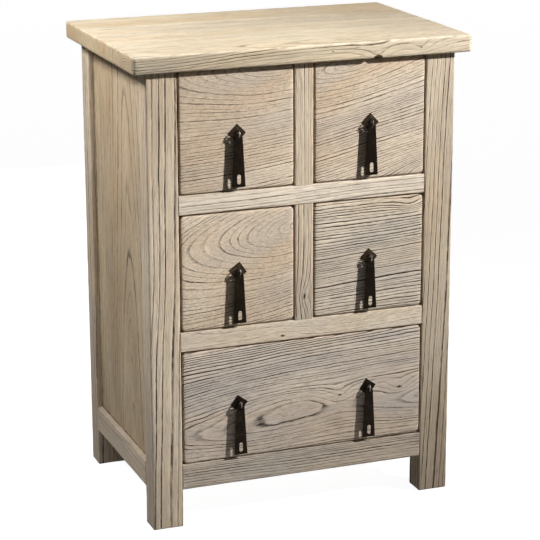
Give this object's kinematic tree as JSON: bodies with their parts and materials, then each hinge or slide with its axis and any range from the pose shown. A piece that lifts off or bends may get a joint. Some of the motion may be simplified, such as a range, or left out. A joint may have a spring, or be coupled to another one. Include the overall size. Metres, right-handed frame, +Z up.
{
  "type": "chest of drawers",
  "caption": "Floor-standing chest in bleached elm: overhanging plank top, square posts run down as legs, inset drawers on wooden runners, and black iron drop pulls that swing.",
  "frame": {"origin": "on the floor, under the middle of the top", "axes": "+Z up, +X to the right seen from the front, front faces -Y"},
  "size_m": [0.6, 0.4, 0.82],
  "materials": {
    "bleached_elm": "bleached, dry, brushed grain",
    "inner_elm": "planed, unfinished",
    "black_iron": "blackened, waxed",
    "zinc_steel": "bright zinc"
  },
  "bodies": {
    "case": {"top_board_front": "bleached_elm", "top_board_front_middle": "bleached_elm", "top_board_rear_middle": "bleached_elm", "top_board_rear": "bleached_elm", "front_bottom_rail": "bleached_elm", "front_lower_rail": "bleached_elm", "front_upper_rail": "bleached_elm", "front_tie_rail": "inner_elm", "upper_stile": "bleached_elm", "middle_stile": "bleached_elm", "rear_rails": "inner_elm", "drawer_runners": "inner_elm", "drawer_stops": "inner_elm", "front_left_post": "bleached_elm", "front_right_post": "bleached_elm", "rear_left_post": "bleached_elm", "rear_right_post": "bleached_elm", "left_side_rail": "bleached_elm", "right_side_rail": "bleached_elm", "left_side_panel": "bleached_elm", "right_side_panel": "bleached_elm", "top_cleats": "inner_elm", "top_screws": "zinc_steel", "back_boards": "inner_elm"},
    "upper_left_drawer": {"upper_left_drawer_front": "bleached_elm", "upper_left_drawer_sides": "inner_elm", "upper_left_drawer_back": "inner_elm", "upper_left_drawer_bottom": "inner_elm", "upper_left_drawer_plate": "black_iron", "upper_left_drawer_staple": "black_iron"},
    "upper_right_drawer": {"upper_right_drawer_front": "bleached_elm", "upper_right_drawer_sides": "inner_elm", "upper_right_drawer_back": "inner_elm", "upper_right_drawer_bottom": "inner_elm", "upper_right_drawer_plate": "black_iron", "upper_right_drawer_staple": "black_iron"},
    "middle_left_drawer": {"middle_left_drawer_front": "bleached_elm", "middle_left_drawer_sides": "inner_elm", "middle_left_drawer_back": "inner_elm", "middle_left_drawer_bottom": "inner_elm", "middle_left_drawer_plate": "black_iron", "middle_left_drawer_staple": "black_iron"},
    "middle_right_drawer": {"middle_right_drawer_front": "bleached_elm", "middle_right_drawer_sides": "inner_elm", "middle_right_drawer_back": "inner_elm", "middle_right_drawer_bottom": "inner_elm", "middle_right_drawer_plate": "black_iron", "middle_right_drawer_staple": "black_iron"},
    "lower_drawer": {"lower_drawer_front": "bleached_elm", "lower_drawer_sides": "inner_elm", "lower_drawer_back": "inner_elm", "lower_drawer_bottom": "inner_elm", "lower_drawer_plate": "black_iron", "lower_drawer_staple": "black_iron"},
    "upper_left_drop_body": {"upper_left_drop": "black_iron"},
    "upper_right_drop_body": {"upper_right_drop": "black_iron"},
    "middle_left_drop_body": {"middle_left_drop": "black_iron"},
    "middle_right_drop_body": {"middle_right_drop": "black_iron"},
    "lower_left_drop_body": {"lower_left_drop": "black_iron"},
    "lower_right_drop_body": {"lower_right_drop": "black_iron"}
  },
  "joints": [
    {"name": "upper_left_drawer_slide", "type": "slide", "parent": "case", "child": "upper_left_drawer", "axis": [0, -1, 0], "range_m": [0, 0.25]},
    {"name": "upper_right_drawer_slide", "type": "slide", "parent": "case", "child": "upper_right_drawer", "axis": [0, -1, 0], "range_m": [0, 0.25]},
    {"name": "middle_left_drawer_slide", "type": "slide", "parent": "case", "child": "middle_left_drawer", "axis": [0, -1, 0], "range_m": [0, 0.25]},
    {"name": "middle_right_drawer_slide", "type": "slide", "parent": "case", "child": "middle_right_drawer", "axis": [0, -1, 0], "range_m": [0, 0.25]},
    {"name": "lower_drawer_slide", "type": "slide", "parent": "case", "child": "lower_drawer", "axis": [0, -1, 0], "range_m": [0, 0.25]},
    {"name": "upper_left_drop_swing", "type": "hinge", "parent": "upper_left_drawer", "child": "upper_left_drop_body", "pos_m": [-0.119, -0.1931, 0.6805], "axis": [-1, 0, 0], "range_deg": [-4, 184]},
    {"name": "upper_right_drop_swing", "type": "hinge", "parent": "upper_right_drawer", "child": "upper_right_drop_body", "pos_m": [0.119, -0.1931, 0.6805], "axis": [-1, 0, 0], "range_deg": [-4, 184]},
    {"name": "middle_left_drop_swing", "type": "hinge", "parent": "middle_left_drawer", "child": "middle_left_drop_body", "pos_m": [-0.119, -0.1931, 0.4455], "axis": [-1, 0, 0], "range_deg": [-4, 184]},
    {"name": "middle_right_drop_swing", "type": "hinge", "parent": "middle_right_drawer", "child": "middle_right_drop_body", "pos_m": [0.119, -0.1931, 0.4455], "axis": [-1, 0, 0], "range_deg": [-4, 184]},
    {"name": "lower_left_drop_swing", "type": "hinge", "parent": "lower_drawer", "child": "lower_left_drop_body", "pos_m": [-0.119, -0.1931, 0.2105], "axis": [-1, 0, 0], "range_deg": [-4, 184]},
    {"name": "lower_right_drop_swing", "type": "hinge", "parent": "lower_drawer", "child": "lower_right_drop_body", "pos_m": [0.119, -0.1931, 0.2105], "axis": [-1, 0, 0], "range_deg": [-4, 184]}
  ]
}
